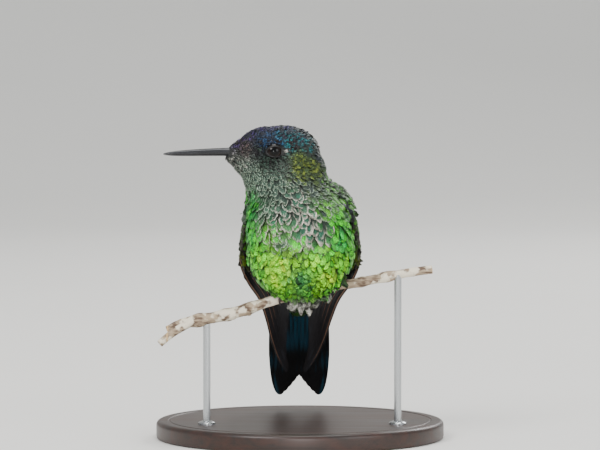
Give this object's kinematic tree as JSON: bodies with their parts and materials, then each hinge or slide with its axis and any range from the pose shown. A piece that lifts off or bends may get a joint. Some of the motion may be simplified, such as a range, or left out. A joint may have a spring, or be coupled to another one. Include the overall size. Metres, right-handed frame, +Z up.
{
  "type": "hummingbird display model",
  "caption": "Life-size still hummingbird with turned head and straight slender bill, gripping a cut twig held over a round base by slim upright rods.",
  "frame": {"origin": "centre of the round base's underside", "axes": "+Z up, -Y the way the breast faces, -X the way the bill points, +Y the way the tail hangs back"},
  "size_m": [0.064, 0.064, 0.0699],
  "materials": {
    "crown_feathers": "small dark violet and blue feathers",
    "throat_feathers": "green feathers with pale grey edges",
    "body_feathers": "glittering yellow-green feathers",
    "covert_feathers": "dark green feathers",
    "flight_feathers": "dusky brown-black vanes",
    "tail_feathers": "blue-black vanes with a steel sheen",
    "bill": "satin black horn",
    "eye": "wet-looking dark brown",
    "leg_skin": "dull dark scales",
    "twig": "dry grey-brown bark",
    "stand_wood": "dark stained and waxed",
    "stand_rod": "fine drawn steel"
  },
  "bodies": {
    "root": {"head": "crown_feathers", "neck": "throat_feathers", "trunk": "body_feathers", "wing_left": "covert_feathers", "wing_right": "covert_feathers", "wing_flight_left": "flight_feathers", "wing_flight_right": "flight_feathers", "tail": "tail_feathers", "bill_upper": "bill", "bill_lower": "bill", "eye_left": "eye", "eye_right": "eye", "leg_left": "leg_skin", "leg_right": "leg_skin", "foot_left": "leg_skin", "foot_right": "leg_skin", "perch": "twig", "stand_base": "stand_wood", "stand_rod_left": "stand_rod", "stand_rod_right": "stand_rod"}
  },
  "joints": []
}
